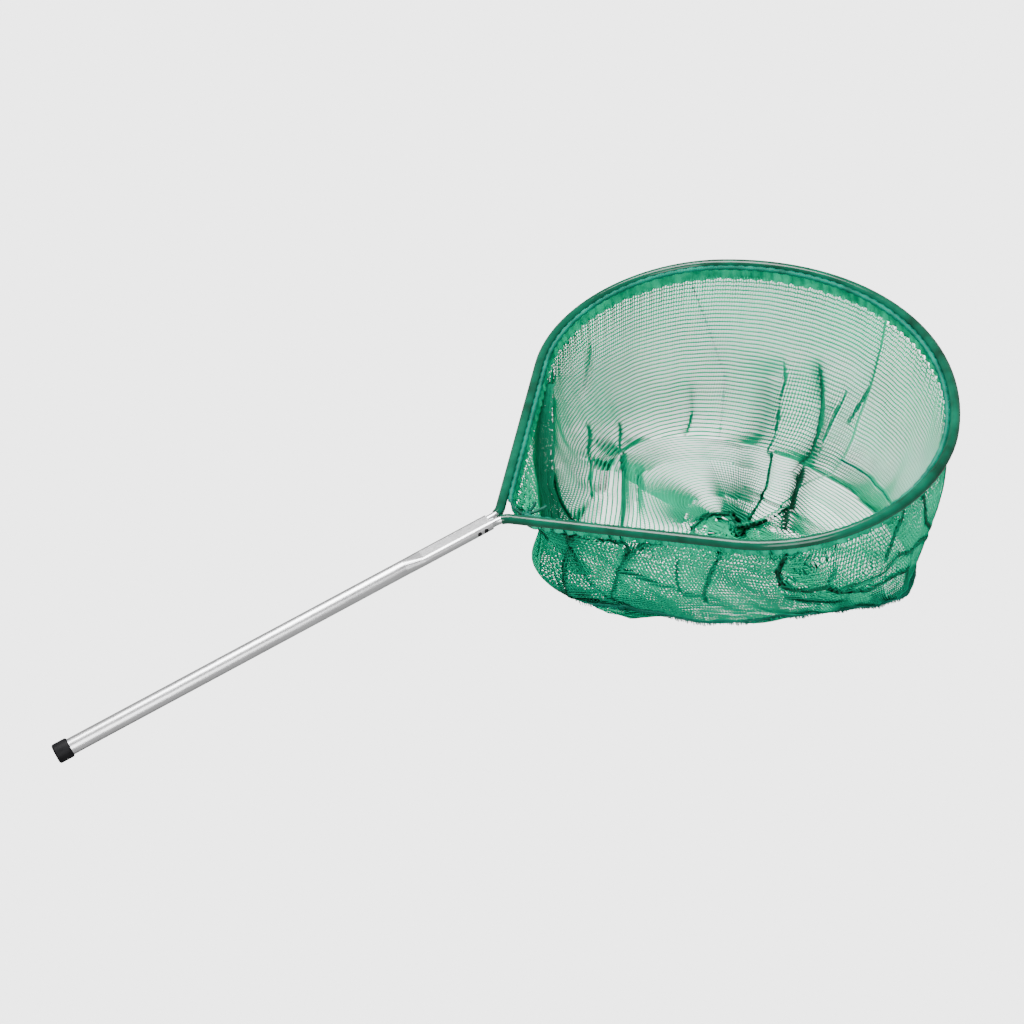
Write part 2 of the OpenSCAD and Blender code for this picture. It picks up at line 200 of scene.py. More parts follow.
def make_object(name: str, verts: Array, quads: Array | None = None, tris: Array | None = None,
                smooth: bool = True, shade: Array | None = None) -> bpy.types.Object:
    """Makes a mesh object at the origin from arrays.

    Args:
        name: the object's name.
        verts: points in mm, (n, 3).
        quads: four-cornered faces, (m, 4), or None.
        tris: three-cornered faces, (m, 3), or None.
        smooth: whether faces are shaded smooth.
        shade: how deep the painted fold shade is at each point, 0 to 1, kept as the attribute "depth", or
            None.

    Returns:
        The linked object, its unused points left out and none below the ground.
    """
    quads = np.zeros((0, 4), np.int64) if quads is None else np.asarray(quads).reshape(-1, 4)
    tris = np.zeros((0, 3), np.int64) if tris is None else np.asarray(tris).reshape(-1, 3)
    loops = np.concatenate([quads.ravel(), tris.ravel()])
    used, loops = np.unique(loops, return_inverse=True)
    verts = np.asarray(verts, float).reshape(-1, 3)[used] * MM
    verts[:, 2] = np.maximum(verts[:, 2], 0.0)
    totals = np.concatenate([np.full(len(quads), 4), np.full(len(tris), 3)])
    starts = np.concatenate([[0], np.cumsum(totals)[:-1]])
    mesh = bpy.data.meshes.new(name)
    mesh.vertices.add(len(verts))
    mesh.vertices.foreach_set("co", verts.astype(np.float32).ravel())
    mesh.loops.add(len(loops))
    mesh.loops.foreach_set("vertex_index", loops.astype(np.int32))
    mesh.polygons.add(len(totals))
    mesh.polygons.foreach_set("loop_start", starts.astype(np.int32))
    mesh.polygons.foreach_set("use_smooth", np.full(len(totals), smooth))
    if shade is not None:
        depth = mesh.attributes.new("depth", "FLOAT", "POINT")
        depth.data.foreach_set("value", np.asarray(shade, np.float32).ravel()[used])
    mesh.update(calc_edges=True)
    mesh.validate()
    obj = bpy.data.objects.new(name, mesh)
    bpy.context.scene.collection.objects.link(obj)
    return obj


@dataclass
class StrandMesh:
    """Gathers strands of yarn into one closed mesh."""

    verts: list[Array] = field(default_factory=list)
    quads: list[Array] = field(default_factory=list)
    tris: list[Array] = field(default_factory=list)
    shades: list[Array] = field(default_factory=list)
    total: int = 0

    def strands(self, points: Array, normal: Array, wide: float | Array, deep: float | Array,
                live: Array | None = None, sides: int = 4, shade: Array | float = 0.0) -> None:
        """Adds strands whose section is p + wide/2 cos(a) side + deep/2 sin(a) normal.

        Args:
            points: centre lines, (strands, points, 3), in mm.
            normal: the sheet's normal at each point, same shape.
            wide: width across the sheet's plane.
            deep: depth through the sheet.
            live: (strands, points - 1), True for the stretches that exist.
            sides: corners of the section.
            shade: depth of the painted fold shade, one value or (strands, points).
        """
        m, n, _ = points.shape
        if live is None:
            live = np.ones((m, n - 1), bool)
        along = unit(np.gradient(points, axis=1))
        side = unit(np.cross(along, normal))
        up = unit(np.cross(side, along))
        a = 2 * np.pi * np.arange(sides) / sides
        wide = np.broadcast_to(np.asarray(wide, float), (m, n))[..., None, None]
        deep = np.broadcast_to(np.asarray(deep, float), (m, n))[..., None, None]
        ring = (points[:, :, None] + wide / 2 * np.cos(a)[:, None] * side[:, :, None]
                + deep / 2 * np.sin(a)[:, None] * up[:, :, None])
        index = np.arange(m * n * sides).reshape(m, n, sides) + self.total
        here, there = index[:, :-1], index[:, 1:]
        corners = [here, there, np.roll(there, -1, -1), np.roll(here, -1, -1)]
        self.quads.append(np.stack(corners, -1)[live].reshape(-1, 4))
        before = np.concatenate([np.zeros((m, 1), bool), live], 1)
        after = np.concatenate([live, np.zeros((m, 1), bool)], 1)
        first, last = index[after & ~before], index[before & ~after]
        k = np.arange(1, sides - 1)
        caps = np.stack([first[:, 0 * k], first[:, k], first[:, k + 1]], -1)
        ends = np.stack([last[:, 0 * k], last[:, k + 1], last[:, k]], -1)
        self.tris.append(np.concatenate([caps.reshape(-1, 3), ends.reshape(-1, 3)]))
        self.verts.append(ring.reshape(-1, 3))
        shade = np.broadcast_to(np.asarray(shade, float)[..., None], (m, n, sides))
        self.shades.append(shade.ravel())
        self.total += m * n * sides

    def build(self, name: str) -> bpy.types.Object:
        """The whole as one object."""
        return make_object(name, np.concatenate(self.verts), np.concatenate(self.quads),
                           np.concatenate(self.tris), shade=np.concatenate(self.shades))


# ---------------------------------------------------------------- the bag's shape


@dataclass(frozen=True)
class Fold:
    """A fold of the netting along a broken line.

    line holds (u, v) points on the walls: u runs round the bag from 0, the narrow end, by the far
    side to 1, the front, and back to 2, and v from 0, the hem, to 1, the foot. On the floor it holds
    plan points in mm. taken is the netting that the fold draws in, width its half width, lift its
    height, fade the length over which each end dies away and reach how far off it still pulls, all
    in mm. fold_shade is how dark the shade painted along the fold is, where its layers shade each other.
    """

    line: tuple[tuple[float, float], ...]
    taken: float = 16.0
    width: float = 3.0
    lift: float = 2.0
    fold_shade: float = 0.8
    fade: float = 14.0
    reach: float = 45.0

    def pull(self, q: Array, scale: tuple[float, float] = (1.0, 1.0)) -> tuple[Array, Array, Array]:
        """How the fold moves points.

        With d the distance to the line and x = d / width, a point moves by taken/2 tanh(x)
        exp(-(d / reach)^2) towards the line, past it where the netting overlaps, and rises by lift
        (0.7 / cosh^2 x + 1.6 x exp(-x^2 / 2)) with x signed by the side that it is on.

        Args:
            q: points (..., 2) in mm.
            scale: mm for one unit of the line's own coordinates.

        Returns:
            Shift (..., 2) and rise in mm, and the depth of the shade painted along the fold.
        """
        line = np.array(self.line) * np.array(scale)
        best, toward = np.full(q.shape[:-1], 1e9), np.zeros(q.shape)
        sign, place, total = np.ones(q.shape[:-1]), np.zeros(q.shape[:-1]), 0.0
        for a, b in zip(line[:-1], line[1:]):
            length = float(np.linalg.norm(b - a))
            way = (b - a) / length
            rel = q - a
            along = np.clip(rel @ way, 0.0, length)
            gap = along[..., None] * way - rel
            d = np.linalg.norm(gap, axis=-1)
            near = d < best
            best, place = np.where(near, d, best), np.where(near, total + along, place)
            toward = np.where(near[..., None], gap, toward)
            sign = np.where(near, np.sign(way[0] * rel[..., 1] - way[1] * rel[..., 0]), sign)
            total += length
        on = smoothstep(place, 0.0, self.fade) * (1.0 - smoothstep(place, total - self.fade, total))
        x = np.clip(best / self.width, 0.0, 30.0)
        pull = self.taken / 2 * np.tanh(x) * np.exp(-((best / self.reach) ** 2)) * on
        shift = pull[..., None] * toward / np.maximum(best, 1e-6)[..., None]
        rise = self.lift * on * (0.7 / np.cosh(x) ** 2 + 1.6 * sign * x * np.exp(-x * x / 2))
        # Third value: painted shade, darkest on the fold's line and fading off it.
        return shift, rise, self.fold_shade * on * np.exp(-((x / 1.7) ** 2))


@dataclass(frozen=True)
class Ripple:
    """A soft wave of the walls: depth * sin(2 pi (turns t + lean v) + phase) * v^power * (1 - v)^tail."""

    turns: float
    depth: float
    lean: float = 0.0
    phase: float = 0.0
    power: float = 0.7
    tail: float = 0.3

    def push(self, t: Array, v: Array) -> Array:
        """Outward offset in mm."""
        wave = np.sin(2 * np.pi * (self.turns * t + self.lean * v) + self.phase)
        return self.depth * wave * np.clip(v, 0, 1) ** self.power * (1 - np.clip(v, 0, 1)) ** self.tail


@dataclass(frozen=True)
class Dent:
    """A smooth push of the walls outwards, deep * exp(-((u - u0) / across)^2 - ((v - v0) / down)^2), in mm.

    u runs round the whole loop: 0 at the narrow end, 1 at the front, by the far side, and on to 2.
    """

    u: float
    v: float
    deep: float
    across: float = 0.085
    down: float = 0.2

    def push(self, u: Array, v: Array) -> Array:
        """Outward offset in mm; the loop closes at 2, and nothing moves at the hem."""
        away = np.minimum(np.abs(u - self.u), 2.0 - np.abs(u - self.u))
        lobe = np.exp(-((away / self.across) ** 2) - ((v - self.v) / self.down) ** 2)
        return self.deep * lobe * smoothstep(v, 0.0, 0.08)


@dataclass
class BagShape:
    """The bag's netting as one surface: m along the netting round a half, v from the hem.

    v is 0 at the hem and 1 at the foot; the floor runs on to 2, where the netting is drawn together.
    hem_low is the wall's top from the hoop's plane, wall_in its distance inside the hoop's line,
    fold_room its distance inside the floor's line, half_skin half the solid wall's thickness and hub
    the point where the floor is gathered, all in mm. slope is the straight share of the wall's
    section. wall_scale is how many mm a fold's own u and v stand for. Under the hem lie as many small
    gathers as tucks says, tuck_deep mm deep, that fade out over a share tuck_fade of the wall.
    """

    hem_low: float = -13.7
    wall_in: float = 7.2
    half_skin: float = 1.0
    fold_room: float = 5.0
    slope: float = 0.15
    wall_scale: tuple[float, float] = (740.0, 230.0)
    hub: tuple[float, float] = (281.0, -6.0)
    folds: tuple[Fold, ...] = ()
    ripples: tuple[Ripple, ...] = ()
    dents: tuple[Dent, ...] = ()
    rucks: tuple[Fold, ...] = ()
    tucks: int = 58
    tuck_deep: float = 1.3
    tuck_fade: float = 0.09

    def __post_init__(self) -> None:
        """Measures the rim, so that t is a share of its length."""
        self._k, length = measure(HOOP.inset(self.wall_in))
        self._share = length / length[-1]

    def base(self, t: Array, v: Array, side: Side) -> Array:
        """Unfolded wall point in frame mm.

        (1 - w) top + w foot in plan and (1 - d) top height, with w = (1 - s)(1 - cos 90v) + s v
        and d = (1 - s) sin 90v + s v: a quarter ellipse with a share s of straight slope. From v = 1
        on, straight from the foot to the hub.
        """
        t, v = np.broadcast_arrays(np.asarray(t, float), np.asarray(v, float))
        inward, v = np.clip(v - 1.0, 0.0, 1.0)[..., None], np.minimum(v, 1.0)
        k = np.interp(t, self._share, self._k)
        turn = np.pi / 2 * v
        c, s = np.cos(turn)[..., None], np.sin(turn)[..., None]
        rim, feet = HOOP.inset(self.wall_in), FLOOR.inset(self.fold_room)
        top = rim.at(k) * (1 - c) + rim.inset(self.half_skin).at(k) * c
        foot = feet.at(k) * (1 - c) + feet.inset(self.half_skin).at(k) * c
        top = STANCE.place(top[..., 0], top[..., 1], self.hem_low)
        w = (1 - self.slope) * (1 - c) + self.slope * v[..., None]
        d = (1 - self.slope) * s + self.slope * v[..., None]
        top[..., 1] *= side.value
        plan = top[..., :2] * (1 - w) + lay_floor(foot, side.value) * w
        z = top[..., 2:3] * (1 - d) + self.half_skin * s
        plan = plan * (1 - inward) + np.array(self.hub) * inward
        return np.concatenate([plan, z], -1)

    def normal(self, t: Array, v: Array, side: Side) -> Array:
        """Outward unit normal of the unfolded wall, from differences of 0.002 in t and v."""
        e = 0.002
        t = np.clip(t, e, 1 - e)
        v = np.clip(v, e, 2 - 4 * e)
        round_it = self.base(t + e, v, side) - self.base(t - e, v, side)
        down = self.base(t, v + e, side) - self.base(t, v - e, side)
        return unit(np.cross(round_it, down)) * side.value

    def point(self, m: Array, v: Array, side: Side) -> tuple[Array, Array, Array]:
        """A point of the netting with its folds, the outward normal and the depth of the painted fold shade
        there.
        """
        m, v = np.broadcast_arrays(np.asarray(m, float), np.asarray(v, float))
        scale = np.array(self.wall_scale)
        q = np.stack([m if side is Side.FAR else 2 - m, v], -1) * scale
        held = smoothstep(v, 0.0, 0.05) * smoothstep(m, 0.0, 0.03)
        flat = smoothstep(v, 0.9, 1.1)
        shift, push, fold_shade = np.zeros(q.shape), np.zeros(m.shape), np.zeros(m.shape)
        # Each fold adds painted shade along its line; the darkest one counts.
        for fold in self.folds:
            move, rise, tone = fold.pull(q, self.wall_scale)
            shift, push = shift + move * held[..., None], push + rise * held
            fold_shade = np.maximum(fold_shade, tone)
        loop = (q[..., 0] + shift[..., 0]) / scale[0]
        level = np.maximum((q[..., 1] + shift[..., 1]) / scale[1], 0.0)
        wall, far = np.clip(level, 0.0, 1.0), (loop <= 1.0)[..., None]
        ends = ((np.clip(loop, 0.0, 1.0), Side.FAR), (np.clip(2.0 - loop, 0.0, 1.0), Side.NEAR))
        n = np.where(far, *(self.normal(t, level, half) for t, half in ends))
        body = np.where(far, *(self.base(t, level, half) for t, half in ends))
        push = push + sum(ripple.push(loop, wall) for ripple in self.ripples)
        push = push + sum(dent.push(loop, level) for dent in self.dents)
        push = push + self.tuck_deep * np.sin(2 * np.pi * self.tucks * m) * np.exp(-v / self.tuck_fade)
        p = body + n * (push * (1 - flat))[..., None]
        shift, high = np.zeros(q.shape), np.zeros(m.shape)
        # Rucks on the floor add their painted shade as well.
        for ruck in self.rucks:
            move, rise, tone = ruck.pull(p[..., :2])
            shift, high = shift + move * flat[..., None], high + np.abs(rise) * flat
            fold_shade = np.maximum(fold_shade, tone * flat)
        p[..., :2] += shift
        uneven = 0.8 * np.sin(p[..., 0] / 19.0) * np.sin(p[..., 1] / 23.0 + 1.0)
        p[..., 2] += high + flat * (1.0 + uneven)
        return p, n, fold_shade

    def rows(self, m: Array, pitch: float, count: int, side: Side) -> Array:
        """v of each row of netting at each m, by the length of wall above it.

        Rows are pitch * sqrt(length / 200) apart down the wall, so they close up a little where
        the wall is low.

        Args:
            m: places round the half.
            pitch: spacing of rows, in mm, where the wall is 200 mm long.
            count: number of rows.
            side: which half.

        Returns:
            Array (count, len(m)); 2 where the row has run out of netting.
        """
        v, foot = np.linspace(0, 2, 181), 90
        p = self.base(m[:, None], v[None, :], side)
        length = np.cumsum(np.linalg.norm(np.diff(p, axis=1), axis=-1), 1)
        length = np.concatenate([np.zeros((len(m), 1)), length], 1)
        step = pitch * np.sqrt(length[:, foot] / 200.0)
        want = np.arange(count)[:, None] * step[None, :]
        return np.stack([np.interp(want[:, i], length[i], v) for i in range(len(m))], 1)


@dataclass
class RimWalk:
    """An even walk round the hoop, e mm inside it.

    u runs from 0, the narrow end's middle, by the far side to 1, the front, and back to 2.
    """

    e: float
    length: float = 0.0

    def __post_init__(self) -> None:
        """Measures half the line."""
        self._k, self._s = measure(HOOP.inset(self.e))
        self.length = float(self._s[-1])

    def at(self, u: Array) -> tuple[Array, Array]:
        """Points of the line and the outward normals there, in the hoop's plane."""
        u = np.mod(u, 2.0)
        near = u > 1
        k = np.interp(np.where(near, 2 - u, u) * self.length, self._s, self._k)
        line = HOOP.inset(self.e)
        way = unit(line.at(np.minimum(k + 0.02, HOOP.count)) - line.at(np.maximum(k - 0.02, 0)))
        p, out = line.at(k), np.stack([-way[..., 1], way[..., 0]], -1)
        sign = np.where(near, -1.0, 1.0)
        p[..., 1] *= sign
        out[..., 1] *= sign
        return p, out

    def place(self, u: Array, out: Array, up: Array) -> Array:
        """Frame points out mm outside the line and up mm above the hoop's plane."""
        p, n = self.at(u)
        q = p + n * np.asarray(out)[..., None]
        return STANCE.place(q[..., 0], q[..., 1], up)


# ---------------------------------------------------------------- finishes


class Tree:
    """A material's node tree, with short calls to add and join nodes."""

    def __init__(self, name: str) -> None:
        """Starts a material with its shader and object coordinates."""
        self.material = bpy.data.materials.new(name)
        self.material.use_nodes = True
        self.nodes = self.material.node_tree.nodes
        self.nodes.clear()
        self.out = self.add("ShaderNodeOutputMaterial")
        self.shader = self.add("ShaderNodeBsdfPrincipled")
        self.join(self.shader, "BSDF", self.out, "Surface")
        self.coords = self.add("ShaderNodeTexCoord")

    def add(self, kind: str, **values: object) -> bpy.types.Node:
        """Adds a node; a value goes to the socket of its name, or else to the node's own setting."""
        node = self.nodes.new(kind)
        for key, value in values.items():
            socket = node.inputs.get(key.replace("_", " ").title())
            if socket is not None:
                socket.default_value = value
            else:
                setattr(node, key, value)
        return node

    def join(self, a: bpy.types.Node, out: str | int, b: bpy.types.Node, into: str | int) -> None:
        """Links a's output to b's input."""
        self.material.node_tree.links.new(a.outputs[out], b.inputs[into])

    def set(self, **values: object) -> None:
        """Sets the shader's own sockets."""
        for key, value in values.items():
            self.shader.inputs[key.replace("_", " ")].default_value = value

    def noise(self, scale: float, stretch: tuple[float, float, float] = (1, 1, 1), detail: float = 3.0,
              turn: float = 0.0) -> bpy.types.Node:
        """Noise on object coordinates, turned about Y by turn degrees and stretched."""
        mapping = self.add("ShaderNodeMapping", rotation=(0.0, math.radians(turn), 0.0), scale=stretch)
        self.join(self.coords, "Object", mapping, "Vector")
        node = self.add("ShaderNodeTexNoise", scale=scale, detail=detail)
        self.join(mapping, "Vector", node, "Vector")
        return node

    def ramp(self, source: bpy.types.Node, out: str, low: float, high: float,
             dark: tuple[float, ...], light: tuple[float, ...]) -> bpy.types.Node:
        """A ramp from dark at low to light at high."""
        node = self.add("ShaderNodeValToRGB")
        node.color_ramp.elements[0].position, node.color_ramp.elements[1].position = low, high
        node.color_ramp.elements[0].color = (*dark, 1.0)
        node.color_ramp.elements[1].color = (*light, 1.0)
        self.join(source, out, node, "Fac")
        return node

    def paint(self, noise: bpy.types.Node, low: float, high: float,
              dark: tuple[float, ...], light: tuple[float, ...]) -> None:
        """Colours the shader by a noise, from dark at low to light at high."""
        tint = self.ramp(noise, "Fac", low, high, dark, light)
        self.join(tint, "Color", self.shader, "Base Color")

    def vary(self, noise: bpy.types.Node, socket: str, low: float, high: float) -> None:
        """Drives one of the shader's sockets from low to high by a noise."""
        node = self.add("ShaderNodeMapRange", to_min=low, to_max=high)
        self.join(noise, "Fac", node, "Value")
        self.join(node, "Result", self.shader, socket)

    def bump(self, noise: bpy.types.Node, strength: float, distance: float) -> None:
        """Feeds a noise into the shader's normal as height."""
        node = self.add("ShaderNodeBump", strength=strength, distance=distance)
        self.join(noise, "Fac", node, "Height")
        self.join(node, "Normal", self.shader, "Normal")


@dataclass(frozen=True)
class DrawnAluminium:
    """Satin tube or rod: faint draw lines along its length and a patchy sheen."""

    name: str = "satin_aluminium"
    tone: tuple[float, float, float] = (0.80, 0.80, 0.81)
    rough: tuple[float, float] = (0.24, 0.42)

    def make(self) -> bpy.types.Material:
        """Noise stretched some 80 to 1 along the handle moves roughness and a fine bump."""
        t = Tree(self.name)
        t.set(Metallic=1.0)
        lines = t.noise(700.0, stretch=(0.012, 1.0, 1.0), detail=4.0, turn=STANCE.tilt)
        t.paint(t.noise(26.0), 0.3, 0.75, tuple(c * 0.86 for c in self.tone), self.tone)
        t.vary(lines, "Roughness", *self.rough)
        t.bump(lines, 0.12, 0.0002)
        return t.material


@dataclass(frozen=True)
class MouldedPlastic:
    """Black moulded plastic with a fine grain and dusty high spots."""

    name: str = "black_plastic"
    dark: tuple[float, float, float] = (0.004, 0.004, 0.005)
    light: tuple[float, float, float] = (0.012, 0.012, 0.013)

    def make(self) -> bpy.types.Material:
        """Grain noise of about 0.6 mm gives bump; a slower one gives tone and roughness."""
        t = Tree(self.name)
        t.set(Specular_IOR_Level=0.12)
        grain, cloud = t.noise(1600.0, detail=2.0), t.noise(90.0)
        t.paint(cloud, 0.35, 0.8, self.dark, self.light)
        t.vary(cloud, "Roughness", 0.42, 0.6)
        t.bump(grain, 0.25, 0.0002)
        return t.material


@dataclass(frozen=True)
class GlossHose:
    """Extruded green hose: glossy, slightly wavy and mottled."""

    name: str = "green_hose"
    dark: tuple[float, float, float] = (0.0, 0.036, 0.018)
    light: tuple[float, float, float] = (0.0, 0.125, 0.066)

    def make(self) -> bpy.types.Material:
        """Slow noise gives tone; a finer one gives the skin's waviness and roughness."""
        t = Tree(self.name)
        t.set(Coat_Weight=0.5, Coat_Roughness=0.08, Specular_IOR_Level=0.15)
        cloud, skin = t.noise(34.0), t.noise(240.0, detail=2.0)
        t.paint(cloud, 0.3, 0.72, self.dark, self.light)
        t.vary(skin, "Roughness", 0.14, 0.26)
        t.bump(skin, 0.12, 0.0004)
        return t.material


@dataclass(frozen=True)
class NetYarn:
    """Fine green polyethylene yarn: mottled tone, soft gloss and a filament grain."""

    name: str = "net_yarn"
    dark: tuple[float, float, float] = (0.0, 0.41, 0.20)
    light: tuple[float, float, float] = (0.0, 0.66, 0.34)
    # Colour of the painted shade in folds, mixed in by the mesh's "depth".
    deep: tuple[float, float, float] = (0.0, 0.05, 0.024)
    rough: float = 0.5
    gloss: float = 0.2
    patch: float = 14.0
    grain: float = 2600.0
    grain_share: float = 0.35

    def make(self) -> bpy.types.Material:
        """Two noises set the tone: slow patches, and grain_share of a filament grain under 1 mm.

        The mesh's own "depth" then mixes in the deep colour, a painted shade where layers of netting lie
        together in folds.
        """
        t = Tree(self.name)
        t.set(Specular_IOR_Level=self.gloss)
        patch, grain = t.noise(self.patch, detail=4.0), t.noise(self.grain, detail=2.0)
        both = t.add("ShaderNodeMath", operation="MULTIPLY_ADD")
        both.inputs[1].default_value = self.grain_share
        t.join(grain, "Fac", both, 0)
        t.join(patch, "Fac", both, 2)
        tint = t.ramp(both, "Value", 0.45, 0.9, self.dark, self.light)
        # Painted shade: the attribute darkens the yarn towards the deep colour along folds.
        depth = t.add("ShaderNodeAttribute", attribute_name="depth")
        # The mix's sockets for colour: 0 its factor, 6 and 7 its two colours, and output 2.
        mix = t.add("ShaderNodeMix", data_type="RGBA")
        mix.inputs[7].default_value = (*self.deep, 1.0)
        t.join(depth, "Fac", mix, 0)
        t.join(tint, "Color", mix, 6)
        t.join(mix, 2, t.shader, "Base Color")
        t.vary(grain, "Roughness", self.rough - 0.08, self.rough + 0.14)
        t.bump(grain, 0.3, 0.0003)
        return t.material


@dataclass(frozen=True)
class PaleFloor:
    """The plain pale floor."""

    name: str = "pale_floor"
    tone: tuple[float, float, float] = (0.2, 0.2, 0.2)
    glow: float = 3.8

    def make(self) -> bpy.types.Material:
        """A matt grey with a trace of cloud, in whose place rays from the camera meet an even glow."""
        t = Tree(self.name)
        t.set(Roughness=0.9, Specular_IOR_Level=0.1)
        t.paint(t.noise(3.0), 0.2, 0.8, tuple(c * 0.985 for c in self.tone), self.tone)
        path = t.add("ShaderNodeLightPath")
        glow = t.add("ShaderNodeEmission", strength=self.glow)
        mix = t.add("ShaderNodeMixShader")
        t.join(path, "Is Camera Ray", mix, 0)
        t.join(t.shader, "BSDF", mix, 1)
        t.join(glow, "Emission", mix, 2)
        t.join(mix, "Shader", t.out, "Surface")
        return t.material


# ---------------------------------------------------------------- netting


def dress(obj: bpy.types.Object, material: bpy.types.Material,
          nodes: tuple[str, ...] = ()) -> None:
    """Gives a new piece its finish, its body and the nodes that it stands for."""
    obj.data.materials.append(material)
    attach(obj, BODY)
    if nodes:
        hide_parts(*nodes)
    LOG.info("%s: %d faces", obj.name, len(obj.data.polygons))


def between(v: Array, low: float, high: float) -> Array:
    """True for the stretches of strands whose middle lies above low and up to high."""
    middle = (v[:, 1:] + v[:, :-1]) / 2
    return (middle > low) & (middle <= high)


@dataclass
class Netting:
    """Knitted netting: even rows of yarn, with a flat inlaid filament to and fro between them.

    Both narrow where the rows close up, and both are a share swell wider where the painted fold shade is
    deepest.
    The filament loses a share thin of its width on the floor and gains its whole width again at the
    hub. Widths, depths and pitch, the rows' usual distance, are in mm, and closest is the least
    share of pitch that counts.
    """

    row_wide: float = 2.4
    row_deep: float = 0.8
    inlay_wide: float = 5.0
    inlay_deep: float = 0.3
    swell: float = 0.5
    thin: float = 0.44
    pitch: float = 4.8
    closest: float = 0.35

    def closeness(self, p: Array, fold_shade: Array) -> Array:
        """Rows' distance, square to them, as a share of pitch from closest to 1; 1 where the painted fold
        shade is deep.
        """
        span, way = np.diff(p, axis=0), unit(np.gradient(p, axis=1))[:-1]
        apart = np.linalg.norm(span - (span * way).sum(-1, keepdims=True) * way, axis=-1)
        apart = np.concatenate([apart, apart[-1:]]) / self.pitch
        return 1 - (1 - np.clip(apart, self.closest, 1.0)) * (1 - np.clip(2 * fold_shade, 0, 1))

    def weave(self, mesh: StrandMesh, p: Array, n: Array, v: Array, fold_shade: Array, low: float, high: float,
              stride: int = 1) -> None:
        """Adds the yarns between two levels of the bag.

        Args:
            mesh: where the strands go.
            p: the netting's crossings, (rows, columns, 3) in mm.
            n: the sheet's normals, same shape.
            v: level of each crossing.
            fold_shade: depth of the painted fold shade at each crossing.
            low: level that the yarns start from.
            high: level that they end at.
            stride: columns from one turn of the filament to the next; a row bends at every second
                or third turn.
        """
        close = self.closeness(p, fold_shade)
        cut = slice(None, None, 3 if stride == 1 else 2 * stride)
        wide = self.row_wide * (1 + self.swell * fold_shade[:, cut]) * close[:, cut] ** 0.5
        mesh.strands(p[:, cut], n[:, cut], wide, self.row_deep, between(v[:, cut], low, high),
                     sides=3, shade=fold_shade[:, cut])

        cols = np.arange(0, p.shape[1], stride)
        odd = (np.arange(len(cols)) % 2)[None, :, None] == 1

        def zigzag(a: Array) -> Array:
            """Values at the filaments' turns: each row's own in even columns, the next row's in odd."""
            return np.where(odd, a[1:, cols], a[:-1, cols])

        # tone is the painted fold shade at the filament's turns.
        level, tone = zigzag(v[..., None])[..., 0], zigzag(fold_shade[..., None])[..., 0]
        share = 1 - self.thin * smoothstep(level, 0.55, 1.0) + smoothstep(level, 1.65, 1.9)
        wide = (1 + self.swell * tone) * share * close[:-1, cols]
        mesh.strands(zigzag(p), zigzag(n), self.inlay_wide * wide, self.inlay_deep,
                     between(level, low, high), sides=3, shade=tone)


@dataclass
class NetHalf:
    """The crossings of one half of the bag, hem to hub."""

    shape: BagShape
    side: Side
    columns: int = 481
    pitch: float = 5.0
    count: int = 100

    def __post_init__(self) -> None:
        """Works out every crossing once."""
        self.m = np.linspace(0.0, 1.0, self.columns)
        self.v = self.shape.rows(self.m, self.pitch, self.count, self.side)
        self.p, self.n, self.fold_shade = self.shape.point(self.m, self.v, self.side)
        first = self.shape.base(self.m, self.v[:2], self.side)
        self.step = np.linalg.norm(first[1] - first[0], axis=1)[1:]

    def flat(self, low: float, high: float) -> tuple[float, float, float]:
        """The netting between two levels laid flat, its mesh as wide as it is at the low level.

        Args:
            low: level that it starts from.
            high: level that it ends at.

        Returns:
            Width and length in metres and area in square metres.
        """
        line = self.shape.base(self.m, low, self.side)
        spacing = np.linalg.norm(np.diff(line, axis=0), axis=1)
        middle = (self.v[1:, 1:] + self.v[:-1, :-1]) / 2
        long = ((middle > low) & (middle <= high)).sum(0) * self.step
        return float(spacing.sum()) * MM, float(long.max()) * MM, float((spacing * long).sum()) * MM * MM


@dataclass
class NetWall:
    """One hanging half of the bag's wall."""

    half: NetHalf
    netting: Netting
    finish: bpy.types.Material

    def build(self, with_pieces: list[str]) -> None:
        half, side = self.half, self.half.side
        mesh = StrandMesh()
        self.netting.weave(mesh, half.p, half.n, half.v, half.fold_shade, 0.0, 1.0)
        node = "net_far" if side is Side.FAR else "net_near"
        obj = mesh.build(f"net_wall_{side.name.lower()}")
        dress(obj, self.finish, (node,))
        wide, tall, area = half.flat(0.0, 1.0)
        LOG.info("%s: flat %.3f x %.3f m, %.4f m2", obj.name, wide, tall, area)


@dataclass
class NetBottom:
    """The bag's floor: the walls' netting run on over the ground to where it is drawn together."""

    halves: tuple[NetHalf, ...]
    netting: Netting
    finish: bpy.types.Material
    bands: tuple[tuple[float, float, int], ...] = (
        (1.0, 1.25, 1), (1.25, 1.6, 2), (1.6, 1.8, 4), (1.8, HUB_LEVEL, 8))

    def build(self) -> None:
        mesh = StrandMesh()
        for half in self.halves:
            for low, high, stride in self.bands:
                self.netting.weave(mesh, half.p, half.n, half.v, half.fold_shade, low, high, stride)
        obj = mesh.build("net_bottom")
        dress(obj, self.finish, ("net_floor",))
        wide, long, area = np.array([half.flat(1.0, HUB_LEVEL) for half in self.halves]).T
        LOG.info("net_bottom: flat %.3f x %.3f m, %.4f m2", wide.sum(), long.max(), area.sum())


# ---------------------------------------------------------------- hem, cord and seams


